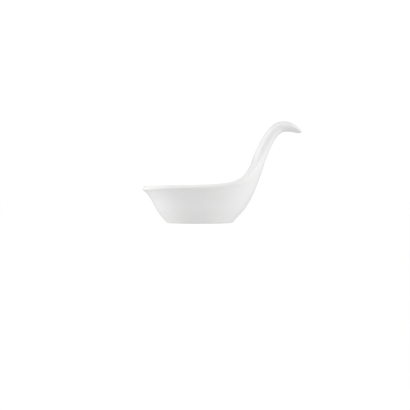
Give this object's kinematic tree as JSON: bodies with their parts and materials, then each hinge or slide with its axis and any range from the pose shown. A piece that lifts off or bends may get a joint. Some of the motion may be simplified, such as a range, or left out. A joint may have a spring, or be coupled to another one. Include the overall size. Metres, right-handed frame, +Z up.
{
  "type": "sauce spoon",
  "caption": "White glazed porcelain sauce spoon: an oval bowl with a turned-out lip on a low foot ring, with a swan-neck handle that rises from the back of the rim and hooks over at the top.",
  "frame": {"origin": "on the table, under the middle of the overall length and width", "axes": "+X from the pouring tip to the handle, +Y across the bowl, +Z up from the table"},
  "size_m": [0.12, 0.06, 0.0765],
  "materials": {
    "glazed_porcelain": "clear gloss glaze over white porcelain",
    "bisque": "unglazed, ground flat underneath"
  },
  "bodies": {
    "root": {"foot_ring": "bisque", "bowl": "glazed_porcelain", "luting_slip": "glazed_porcelain", "handle": "glazed_porcelain"}
  },
  "joints": []
}
